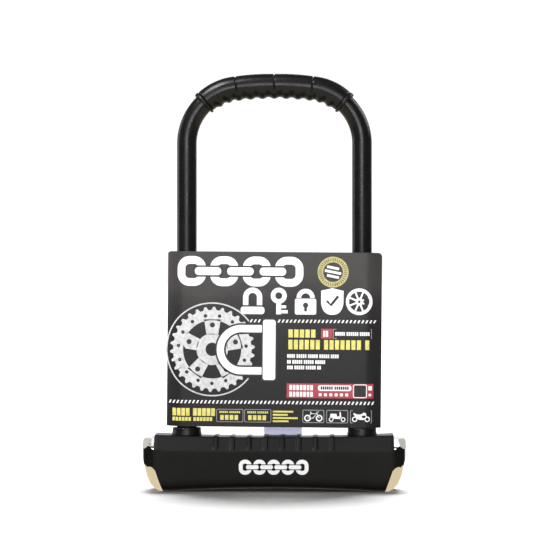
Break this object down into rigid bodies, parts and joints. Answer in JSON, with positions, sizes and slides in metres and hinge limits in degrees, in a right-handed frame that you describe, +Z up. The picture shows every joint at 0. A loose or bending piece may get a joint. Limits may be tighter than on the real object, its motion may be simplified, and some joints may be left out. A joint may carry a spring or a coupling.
{
  "type": "bicycle u lock",
  "caption": "Bicycle U lock: coated steel shackle with a crown grip in a rubber-clad crossbar with two deadbolts and chrome ends.",
  "frame": {"origin": "on the floor, below the middle of the crossbar", "axes": "+X along the crossbar to the viewer's right, -Y to the front, +Z up towards the shackle's crown"},
  "size_m": [0.194, 0.04, 0.3079],
  "materials": {
    "cover_rubber": "satin",
    "grip_rubber": "satin",
    "vinyl": "satin",
    "hard_plastic": "matte",
    "hardened_steel": "satin",
    "tube_steel": "satin",
    "chrome": "polished",
    "brass": "satin",
    "printed_card": "semi-gloss print"
  },
  "bodies": {
    "crossbar": {"bar_cover": "cover_rubber", "crossbar_tube": "tube_steel", "left_end_plug": "tube_steel", "right_end_plug": "tube_steel", "left_end_cap": "chrome", "right_end_cap": "chrome", "cap_pins": "hardened_steel", "left_socket_bush": "hardened_steel", "right_socket_bush": "hardened_steel", "left_collar": "hard_plastic", "right_collar": "hard_plastic", "left_bolt_guide": "brass", "right_bolt_guide": "brass", "cylinder_housing": "brass", "housing_pin": "hardened_steel", "keyway_bezel": "hard_plastic"},
    "core": {"lock_core": "brass", "core_face": "hardened_steel", "disc_tumblers": "brass", "disc_spacers": "hardened_steel", "sidebar": "hardened_steel", "core_circlip": "tube_steel", "cam_plate": "hardened_steel", "cam_screw": "tube_steel"},
    "left_deadbolt": {"left_bolt": "hardened_steel", "left_bolt_pin": "hardened_steel"},
    "right_deadbolt": {"right_bolt": "hardened_steel", "right_bolt_pin": "hardened_steel"},
    "shutter": {"keyway_shutter": "hard_plastic"},
    "shackle": {"shackle_rod": "hardened_steel", "shackle_coating": "vinyl", "crown_grip": "grip_rubber", "left_grip_ring": "grip_rubber", "right_grip_ring": "grip_rubber"},
    "sleeve": {"retail_sleeve": "printed_card"}
  },
  "joints": [
    {"name": "left_bolt_slide", "type": "slide", "parent": "crossbar", "child": "left_deadbolt", "axis": [-1, 0, 0], "range_m": [0, 0.005]},
    {"name": "right_bolt_slide", "type": "slide", "parent": "crossbar", "child": "right_deadbolt", "axis": [1, 0, 0], "range_m": [0, 0.005]},
    {"name": "core_turn", "type": "hinge", "parent": "crossbar", "child": "core", "pos_m": [0, 0, 0.0125], "axis": [0, 0, 1], "range_deg": [0, 90]},
    {"name": "shutter_slide", "type": "slide", "parent": "crossbar", "child": "shutter", "axis": [1, 0, 0], "range_m": [0, 0.0135]},
    {"name": "shackle_lift", "type": "slide", "parent": "crossbar", "child": "shackle", "axis": [0, 0, 1], "range_m": [0, 0.06]},
    {"name": "sleeve_lift", "type": "slide", "parent": "crossbar", "child": "sleeve", "axis": [0, 0, 1], "range_m": [0, 0.1]}
  ],
  "couplings": [
    {"joint": "core_turn", "follows": "left_bolt_slide", "rad_per_m": 314.16},
    {"joint": "right_bolt_slide", "follows": "left_bolt_slide", "ratio": 1}
  ]
}
